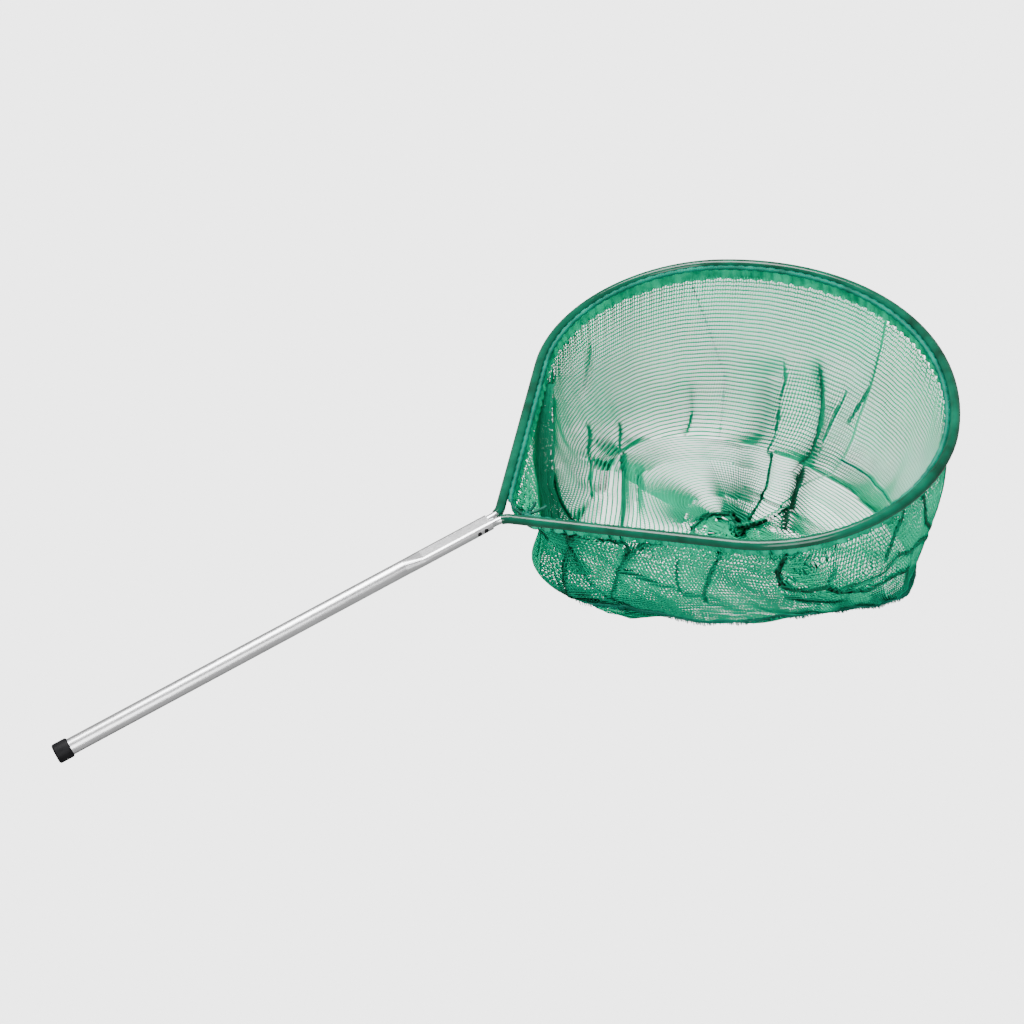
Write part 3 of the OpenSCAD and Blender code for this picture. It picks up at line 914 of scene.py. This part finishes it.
def closed_sweep(name: str, rings: Array, loop: bool = False) -> bpy.types.Object:
    """A closed skin over rings of points.

    Each ring joins the next; the ends are fans to their middles, or ring n joins ring 0 in a loop.

    Args:
        name: the object's name.
        rings: (rings, points round, 3) in mm.
        loop: whether the last ring joins the first.

    Returns:
        The object, its faces outward by the sign of its volume.
    """
    n, m, _ = rings.shape
    index = np.arange(n * m).reshape(n, m)
    a = index if loop else index[:-1]
    b = np.roll(index, -1, 0) if loop else index[1:]
    quads = np.stack([a, b, np.roll(b, -1, 1), np.roll(a, -1, 1)], -1).reshape(-1, 4)
    verts, tris = rings.reshape(-1, 3), None
    if not loop:
        verts = np.concatenate([verts, [rings[0].mean(0), rings[-1].mean(0)]])
        first, last = index[0], index[-1]
        tris = np.concatenate([
            np.stack([np.full(m, n * m), first, np.roll(first, -1)], -1),
            np.stack([np.full(m, n * m + 1), np.roll(last, -1), last], -1),
        ])
    q = verts[quads]
    crossed = np.cross(q[:, 1], q[:, 2]) + np.cross(q[:, 2], q[:, 3])
    if np.einsum("ij,ij->i", q[:, 0], crossed).sum() < 0:
        quads = quads[:, ::-1]
        tris = None if tris is None else tris[:, ::-1]
    return make_object(name, verts, quads, tris)


def tube_rings(path: Array, radius: float | Array, sides: int, lobes: int, twist: float,
               deep: float) -> Array:
    """Rings of radius r (1 + deep cos(lobes a - twist s)) round a path, s being the length along it.

    Args:
        path: (n, 3) in mm.
        radius: one value or one for each point.
        sides: points in a ring.
        lobes: strands that show in the section.
        twist: radians of twist for each mm of length.
        deep: depth of the grooves between strands, as a share of r.

    Returns:
        Array (n, sides, 3).
    """
    way = unit(np.gradient(path, axis=0))
    ref = np.where(np.abs(way[:, 2:3]) > 0.9, np.array([[1.0, 0, 0]]), np.array([[0, 0, 1.0]]))
    side = unit(np.cross(way, ref))
    up = np.cross(side, way)
    s = lengths(path)
    a = 2 * np.pi * np.arange(sides) / sides
    r = np.broadcast_to(np.asarray(radius, float), s.shape)[:, None]
    r = r * (1 + deep * np.cos(lobes * a[None, :] - twist * s[:, None]))
    x, y = (r * np.cos(a))[..., None], (r * np.sin(a))[..., None]
    return path[:, None] + x * side[:, None] + y * up[:, None]


def wobble(x: Array, *rates: float) -> Array:
    """Uneven wave from -1 to 1: the mean of sines whose rates share no common measure."""
    return sum(np.sin(r * x + 1.7 * i + r) for i, r in enumerate(rates)) / len(rates)


@dataclass
class Hem:
    """The gathered hem: a lumpy roll of netting round the draw cord, over a ruffled double skirt.

    inside is the hem's distance inside the hoop's line and lump the spacing of its lumps, in mm. gap
    is where it starts and stops, as u round the hoop, and taper the share of u over which it thins.
    """

    cloth: bpy.types.Material
    dark: bpy.types.Material
    inside: float = 7.3
    roll_r: float = 2.0
    gap: float = 0.012
    skirt: float = 15.0
    lump: float = 11.5
    taper: float = 0.008

    def sink(self, u: Array) -> Array:
        """How far the hem sags below the hoop's plane, more along the near side."""
        return 0.4 + 3.4 * smoothstep(u, 1.34, 1.48) * (1 - smoothstep(u, 1.93, 1.99))

    def roll(self) -> None:
        """Radius 2 mm plus lumps every 11.5 mm and gathers every 2.7 mm, swept round the hoop."""
        walk = RimWalk(self.inside)
        u = np.linspace(self.gap, 2 - self.gap, 2500)
        s = u * walk.length
        a = 2 * np.pi * np.arange(14) / 14
        lumps = 0.9 * np.abs(np.sin(np.pi * s / self.lump + 0.8 * wobble(s, 0.031, 0.047))) ** 1.6
        phase = 2 * np.pi * s[:, None] / 2.7 + 1.2 * np.sin(a)
        gathers = 0.32 * np.sin(phase + 1.5 * wobble(s, 0.21, 0.13)[:, None])
        start, stop = self.gap, 2 - self.gap
        full = smoothstep(u, start, start + self.taper) * (1 - smoothstep(u, stop - self.taper, stop))
        r = (self.roll_r + lumps[:, None] + gathers) * (0.25 + 0.75 * full[:, None])
        rings = walk.place(u[:, None] + 0 * a, r * np.cos(a), r * np.sin(a) - self.sink(u)[:, None])
        dress(closed_sweep("hem_roll", rings), self.dark, ("hem_band",))

    def ruffle(self) -> None:
        """A skirt of doubled netting 1.2 mm thick, pushed in and out by waves of 3 to 12 mm."""
        walk = RimWalk(self.inside)
        u = np.linspace(0.006, 1.994, 2200)
        s = u * walk.length
        w = np.concatenate([np.linspace(0, 1, 10), np.linspace(1, 0, 10)])
        face = np.concatenate([np.full(10, 0.6), np.full(10, -0.6)]) * (1 - 0.5 * (w > 0.95))
        wave = 1.3 * np.sin(2 * np.pi * s / 12.3) + 0.6 * wobble(s, 1.05, 0.83, 1.9)
        cell = 0.3 * np.sin(2 * np.pi * s[:, None] / 2.6 + 5 * w) * np.sin(2 * np.pi * w * self.skirt / 3.0)
        out = (0.3 + 0.7 * w) * wave[:, None] + face + cell
        edge = 1 + 0.07 * wobble(s, 0.11, 0.17, 1.3)
        down = self.sink(u)[:, None] + 0.5 + self.skirt * w * edge[:, None]
        rings = walk.place(u[:, None] + 0 * w, out, -down)
        dress(closed_sweep("hem_ruffle", rings), self.cloth)


@dataclass
class DrawCord:
    """The cord through the hem and the knot that ties its two ends, each tail mm long."""

    finish: bpy.types.Material
    inside: float = 7.3
    radius: float = 1.5
    knot_x: float = 21.0
    knot_y: float = -15.0
    tail: float = 20.0

    def laid(self, path: Array, radius: float | Array) -> Array:
        """Rings of cord laid from three strands, one turn in 8 mm, along a path."""
        return tube_rings(path, radius, 10, lobes=3, twist=2 * np.pi / 8, deep=0.1)

    def run(self, hem: Hem) -> None:
        """Cord of 3 mm that follows the hem's line."""
        walk = RimWalk(self.inside)
        u = np.linspace(0.0, 2.0, 900, endpoint=False)
        rings = self.laid(walk.place(u, 0 * u, -hem.sink(u)), self.radius)
        dress(closed_sweep("draw_cord", rings, loop=True), self.finish, ("hem_cord",))

    def knot(self) -> None:
        """A trefoil drawn up tight, with two loose ends.

        Its line is (sin t + 2 sin 2t, cos t - 2 cos 2t, -1.3 sin 3t), 1.25 times as large.
        """
        t = np.linspace(0, 2 * np.pi, 110, endpoint=False)
        x, y = np.sin(t) + 2 * np.sin(2 * t), np.cos(t) - 2 * np.cos(2 * t)
        centre = np.array([self.knot_x, self.knot_y, -0.6])
        loops = np.stack([x, y, -1.3 * np.sin(3 * t)], -1) * 1.25 + centre
        rings = self.laid(STANCE.place(*loops.T), self.radius)
        dress(closed_sweep("draw_knot", rings, loop=True), self.finish, ("hem_knot",))
        for i, (turn, lift) in enumerate(((-30.0, 1.0), (28.0, -2.5))):
            s = np.linspace(0, 1, 30)
            way = np.radians(turn) + 0.5 * s
            step = np.stack([np.cos(way), np.sin(way), 0.12 * np.sin(3 * s) * lift], -1)
            line = centre + np.cumsum(step, 0) * self.tail / len(s)
            radius = self.radius * (1 + 0.25 * smoothstep(s, 0.86, 1.0))
            rings = self.laid(STANCE.place(*line.T), radius)
            dress(closed_sweep(f"draw_cord_end_{i + 1}", rings), self.finish)


@dataclass
class Selvage:
    """The rolled seam low on the near wall, with its frayed edge."""

    shape: BagShape
    finish: bpy.types.Material
    level: float = 0.7
    radius: float = 1.35

    def seam(self) -> None:
        """Two twisted strands along the seam, thicker where the netting is bunched."""
        m = np.linspace(0.0, 1.0, 1100)
        path, normal, _ = self.shape.point(m, self.level, Side.NEAR)
        radius = self.radius * (1 + 0.25 * wobble(m, 61.0, 97.0, 143.0))
        rings = tube_rings(path + normal * 0.8, radius, 10, lobes=2, twist=2 * np.pi / 9, deep=0.22)
        dress(closed_sweep("near_seam", rings), self.finish, ("foot_seam",))

    def fray(self) -> None:
        """Cut yarn ends 2 to 5 mm long that hang below the seam, about one for each mm."""
        i = np.arange(760, dtype=float)
        m = np.linspace(0.004, 0.996, len(i)) + 0.0008 * wobble(i, 1.3, 2.1)
        s = np.linspace(0, 1, 4)
        long = 3.4 + 1.4 * wobble(i, 0.7, 1.9)
        path, normal, _ = self.shape.point(m, self.level, Side.NEAR)
        below, _, _ = self.shape.point(m, self.level + 0.04, Side.NEAR)
        down = unit(below - path) * 0.75 + normal * 0.45 + np.array([0, 0, -0.25])
        lean = unit(np.gradient(path, axis=0)) * (0.35 * wobble(i, 1.1, 2.7))[:, None]
        way = unit(down + lean)
        p = path[:, None] + way[:, None] * (long[:, None] * s)[..., None]
        p = p + normal[:, None] * 0.9
        p[..., 2] = np.maximum(p[..., 2] - 1.2 * s * s, 0.6)
        mesh = StrandMesh()
        mesh.strands(p, np.broadcast_to(normal[:, None], p.shape), 0.9, 0.7)
        dress(mesh.build("near_fray"), self.finish)


@dataclass
class SideTuck:
    """The doubled tuck of the far wall's netting that stands off it near the narrow end."""

    shape: BagShape
    netting: Netting
    finish: bpy.types.Material
    line: tuple[tuple[float, float], ...] = (
        (0.315, 0.0), (0.26, 0.05), (0.205, 0.16), (0.16, 0.29), (0.12, 0.45), (0.085, 0.70), (0.05, 0.93))
    facing: tuple[float, float, float] = (0.88, -0.47, 0.0)
    wide: tuple[float, float] = (7.0, 17.0)
    thick: float = 1.6
    # Painted shade over the whole doubled tuck.
    fold_shade: float = 0.62

    def build(self) -> None:
        """Two woven layers from the wall inwards, rippled by sin waves, that meet at the folded edge."""
        at = np.array(self.line)
        v = np.linspace(0.01, at[-1, 1], 157)
        root, _, _ = self.shape.point(np.interp(v, at[:, 1], at[:, 0]), v, Side.FAR)
        s = lengths(root)
        top, full = self.wide
        wide = top + (full - top) * smoothstep(s, 0, 70) + 1.5 * wobble(s, 0.09, 0.23)
        w = np.concatenate([np.linspace(-0.15, 1, 9), np.linspace(1, -0.15, 9)])[:, None]
        face = np.repeat([[0.5], [-0.5]], 9, 0)
        across, way = np.array(self.facing), unit(np.gradient(root, axis=0))
        out = unit(np.cross(way, across))
        wave = 1.4 * np.sin(4.4 * np.pi * w + s / 17.0) * np.clip(w, 0, 1)
        p = root + (wide * w)[..., None] * across + (wave + face * self.thick)[..., None] * out
        p[..., 2] = np.maximum(p[..., 2], 0.8)
        level = np.ones(p.shape[:2])
        mesh = StrandMesh()
        self.netting.weave(mesh, p, np.broadcast_to(out, p.shape), level, level * self.fold_shade, 0.0, 2.0)
        obj = mesh.build("side_tuck")
        dress(obj, self.finish)


@dataclass
class WallStitch:
    """The stitched line down the far wall: short dashes 3 mm long every 5 mm on a doubled edge."""

    shape: BagShape
    finish: bpy.types.Material
    line: tuple[tuple[float, float], ...] = ((0.652, 0.02), (0.688, 0.23), (0.722, 0.44), (0.74, 0.98))

    def build(self) -> None:
        """Dashes laid along the line inside the wall."""
        at = np.array(self.line)
        v = np.linspace(0.03, 0.97, 46)
        v = v[:, None] + np.linspace(-0.3, 0.3, 4) / len(v)
        p, n, _ = self.shape.point(np.interp(v, at[:, 1], at[:, 0]), v, Side.FAR)
        mesh = StrandMesh()
        mesh.strands(p - n * 1.4, n, wide=1.5, deep=1.2, sides=6)
        dress(mesh.build("far_stitches"), self.finish, ("wall_seam",))


# ---------------------------------------------------------------- studio


@dataclass
class Studio:
    """Camera, lights, floor and surroundings."""

    eye: tuple[float, float, float] = (-0.64206, -1.21090, 1.09520)
    look: tuple[float, float, float] = (0.3869, 0.7190, -0.5774)
    lens: float = 59.73
    floor: PaleFloor = PaleFloor()

    def camera(self) -> None:
        """The camera, level, looking along look."""
        data = bpy.data.cameras.new("camera")
        data.lens, data.sensor_width = self.lens, 36.0
        data.clip_start, data.clip_end = 0.02, 60.0
        cam = bpy.data.objects.new("camera", data)
        cam.location = self.eye
        cam.rotation_euler = Vector(self.look).to_track_quat("-Z", "Y").to_euler()
        bpy.context.scene.collection.objects.link(cam)
        bpy.context.scene.camera = cam

    def light(self, name: str, at: tuple[float, float, float], aim: tuple[float, float, float],
              size: float, power: float) -> None:
        """A square soft light at a place, aimed at a point."""
        data = bpy.data.lights.new(name, "AREA")
        data.shape, data.size, data.energy = "SQUARE", size, power
        lamp = bpy.data.objects.new(name, data)
        lamp.location = at
        lamp.rotation_euler = (Vector(aim) - Vector(at)).to_track_quat("-Z", "Y").to_euler()
        bpy.context.scene.collection.objects.link(lamp)

    def surroundings(self) -> None:
        """An even white world."""
        world = bpy.data.worlds.new("studio")
        world.use_nodes = True
        back = world.node_tree.nodes["Background"]
        back.inputs["Color"].default_value = (1.0, 1.0, 1.0, 1.0)
        back.inputs["Strength"].default_value = 0.4
        bpy.context.scene.world = world

    def ground(self) -> None:
        """A flat square floor, 8 m wide."""
        e = 4000.0
        floor = make_object("floor", np.array([[-e, -e, 0], [e, -e, 0], [e, e, 0], [-e, e, 0]]),
                            quads=np.array([[0, 1, 2, 3]]), smooth=False)
        floor.data.materials.append(self.floor.make())

    def build(self) -> None:
        """Sets up the whole studio."""
        self.ground()
        self.surroundings()
        self.light("overhead", (-0.3, 0.45, 2.2), (0.2, 0.0, 0.1), 1.4, 112.0)
        self.light("front", (-0.95, -1.9, 0.85), (0.1, 0.0, 0.1), 1.4, 40.0)


# ---------------------------------------------------------------- the whole


FAR_FOLDS = (
    Fold(((0.33, 0.02), (0.28, 0.10), (0.24, 0.19), (0.20, 0.30), (0.165, 0.45), (0.14, 0.75)),
         12, 24.0, 2.0, 0.75),
    Fold(((0.36, 0.03), (0.347, 0.09), (0.31, 0.19), (0.27, 0.29), (0.227, 0.39), (0.20, 0.58), (0.17, 0.80)),
         11, 3.4, 2.0, 0.95),
    Fold(((0.48, 0.07), (0.453, 0.25), (0.417, 0.44)), 4, 5.0, 0.6, 0.2, 30.0),
    Fold(((0.42, 0.52), (0.41, 0.59), (0.35, 0.77), (0.237, 0.88)), 7, 2.6, 1.4, 0.6),
    Fold(((0.50, 0.66), (0.49, 0.74), (0.42, 1.05)), 7, 2.4, 1.4, 0.7),
    Fold(((0.82, 0.28), (0.833, 0.40), (0.837, 0.57), (0.845, 0.75), (0.85, 1.1)), 8, 2.4, 1.2, 0.85, 24.0),
    Fold(((0.79, 0.25), (0.805, 0.60), (0.81, 0.80), (0.80, 1.1)), 12, 16.0, 1.0, 0.5, 70.0),
    Fold(((0.885, 0.24), (0.907, 0.47), (0.913, 0.61), (0.923, 0.83), (0.93, 1.0), (0.93, 1.22)),
         12, 6.5, 1.2, 0.95, 24.0),
    Fold(((0.90, 0.30), (0.93, 0.62), (0.945, 1.0)), 12, 14.0, 1.0, 0.5, 50.0),
    Fold(((1.0, 0.07), (0.997, 0.26), (0.98, 0.50)), 4, 2.0, 0.6, 0.75),
    Fold(((0.952, 0.28), (0.95, 0.63), (0.965, 0.95)), 6, 3.0, 1.0, 0.4, 30.0),
    Fold(((0.66, 0.45), (0.67, 0.70), (0.66, 0.98)), 5, 3.4, 0.8, 0.3, 30.0),
)
NEAR_FOLDS = (
    Fold(((1.607, 0.0), (1.623, 0.12), (1.617, 0.21), (1.583, 0.24), (1.557, 0.24), (1.527, 0.35),
          (1.497, 0.39), (1.467, 0.37), (1.40, 0.42)), 16, 4.0, 1.6, 1.0),
    Fold(((1.65, 0.28), (1.58, 0.38), (1.52, 0.48)), 20, 14.0, 1.6, 0.35, 40.0),
    Fold(((1.84, 0.0), (1.84, 0.07), (1.86, 0.31), (1.90, 0.58), (1.96, 0.9)), 15, 3.6, 1.6, 0.85),
    Fold(((1.785, 0.0), (1.817, 0.09), (1.85, 0.29)), 16, 6.0, 1.4, 0.5),
    Fold(((1.925, 0.0), (1.918, 0.20), (1.917, 0.29), (1.92, 0.60)), 14, 5.0, 1.4, 0.5),
    Fold(((1.905, 0.0), (1.957, 0.31), (1.985, 0.62)), 20, 7.0, 1.6, 1.0),
    Fold(((1.697, 0.0), (1.733, 0.29), (1.767, 0.50)), 7, 2.4, 1.0, 0.55),
    Fold(((1.757, 0.08), (1.787, 0.42)), 6, 2.4, 1.0, 0.4),
    # These two only paint broad bands of shade on the near wall; they draw in and lift nothing.
    Fold(((1.48, -0.1), (1.48, 1.0)), 0.0, 60.0, 0.0, 0.16, 1.0),
    Fold(((1.82, -0.1), (1.82, 1.0)), 0.0, 70.0, 0.0, 0.16, 1.0),
    Fold(((1.93, 0.02), (1.95, 0.30), (1.97, 0.75)), 6, 22.0, 1.0, 0.5, 10.0),
    Fold(((1.72, 0.10), (1.66, 0.30), (1.60, 0.60)), 6, 20.0, 1.0, 0.3, 30.0),
    Fold(((1.43, 0.0), (1.45, 0.08), (1.475, 0.22)), 7, 2.4, 1.0, 0.75),
    Fold(((1.40, 0.0), (1.37, 0.21), (1.333, 0.34)), 9, 2.8, 1.0, 0.75),
    Fold(((1.30, 0.45), (1.437, 0.24), (1.493, 0.28), (1.54, 0.28)), 7, 2.4, 1.0, 0.75),
    Fold(((1.305, 0.05), (1.307, 0.15), (1.32, 0.24), (1.313, 0.34), (1.343, 0.57), (1.45, 0.9)),
         9, 3.4, 0.6, 0.9),
)
DENTS = (
    Dent(0.0, 0.2, -14.0), Dent(0.0, 0.45, 4.0), Dent(0.0, 0.75, -5.0), Dent(0.06, 0.2, -9.0),
    Dent(1.94, 0.2, -5.0), Dent(1.94, 0.75, -6.0), Dent(1.94, 1.0, -4.0), Dent(1.86, 0.75, 8.0),
    Dent(1.75, 0.75, 3.0), Dent(1.6, 0.75, -13.0), Dent(1.6, 1.0, -4.0), Dent(1.45, 1.0, 6.0),
    Dent(1.3, 0.2, 5.0),
)
RIPPLES = (
    Ripple(5.5, 3.0, 0.5, 0.4),
    Ripple(13.0, 1.6, -0.8, 1.1),
    Ripple(23.0, 0.9, 0.6, 2.0),
)
RUCKS = (
    Fold(((262, 197), (180, 63), (105, -62)), 9, 3.0, 2.0, 0.85),
    Fold(((273, 171), (200, 52)), 5, 2.6, 1.4, 0.4, 45.0),
    Fold(((240, 10), (247, 23), (276, 39), (295, 33), (287, -5)), 11, 3.6, 4.0, 1.0, 8.0),
    Fold(((284, -6), (330, -3), (366, 8)), 11, 5.0, 3.0, 1.0, 8.0),
    Fold(((215, 70), (262, 46), (300, 25)), 7, 14.0, 1.5, 0.45, 40.0),
    Fold(((425, 122), (364, 52), (287, -8)), 8, 2.8, 2.0, 0.85),
    Fold(((425, 175), (340, 62), (280, -4)), 8, 17.0, 1.5, 0.5, 14.0),
    Fold(((462, 98), (448, 84), (423, 59), (394, 31), (363, -3), (335, -34)), 11, 9.0, 3.0, 1.0, 8.0),
)


def main() -> None:
    """Builds every piece in order and reports each."""
    logging.basicConfig(level=logging.INFO, format="%(name)s: %(message)s")
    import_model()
    studio = Studio()
    studio.camera()
    studio.build()
    LOG.info("studio: camera, floor and lights")

    finishes = {
        "handle_tube": DrawnAluminium(),
        "end_cap": MouldedPlastic(),
        "leg_rivets": MouldedPlastic("black_rivet"),
        "hoop_rod": DrawnAluminium("bright_rod", (0.78, 0.79, 0.80), (0.2, 0.34)),
        "hoop_hose": GlossHose(),
    }
    for node, finish in finishes.items():
        material = finish.make()
        for slot in bpy.data.objects[node].material_slots:
            slot.material = material
        LOG.info("%s: finished in %s", node, material.name)
    yarn = NetYarn().make()
    hem_yarn = NetYarn("hem_yarn", (0.0, 0.08, 0.05), (0.0, 0.24, 0.155), patch=40.0).make()
    cord = NetYarn("cord_yarn", (0.0, 0.04, 0.025), (0.0, 0.13, 0.08), patch=60.0).make()
    seam = NetYarn("seam_yarn", (0.0, 0.07, 0.045), (0.0, 0.22, 0.14), patch=30.0).make()
    cloth = NetYarn("hem_cloth", (0.0, 0.25, 0.12), (0.0, 0.66, 0.36), patch=60.0, grain=900.0).make()

    shape = BagShape(folds=FAR_FOLDS + NEAR_FOLDS, ripples=RIPPLES, dents=DENTS, rucks=RUCKS)
    netting = {Side.FAR: Netting(), Side.NEAR: Netting(row_wide=2.3, inlay_wide=4.6, swell=0.25)}
    halves = tuple(NetHalf(shape, side) for side in Side)
    hem = Hem(cloth, hem_yarn)
    hem.roll()
    hem.ruffle()
    for half in halves:
        NetWall(half, netting[half.side], yarn).build(["hem_roll", "hem_ruffle"])
    NetBottom(halves, Netting(row_wide=2.1, inlay_wide=4.6), yarn).build()
    draw = DrawCord(cord)
    draw.run(hem)
    draw.knot()
    selvage = Selvage(shape, seam)
    selvage.seam()
    selvage.fray()
    WallStitch(shape, seam).build()
    fine = Netting(row_wide=1.0, row_deep=0.5, inlay_wide=1.35, inlay_deep=0.25,
                   swell=0.0, thin=0.0, pitch=1.0)
    SideTuck(shape, fine, yarn).build()


if __name__ == "__main__":
    main()
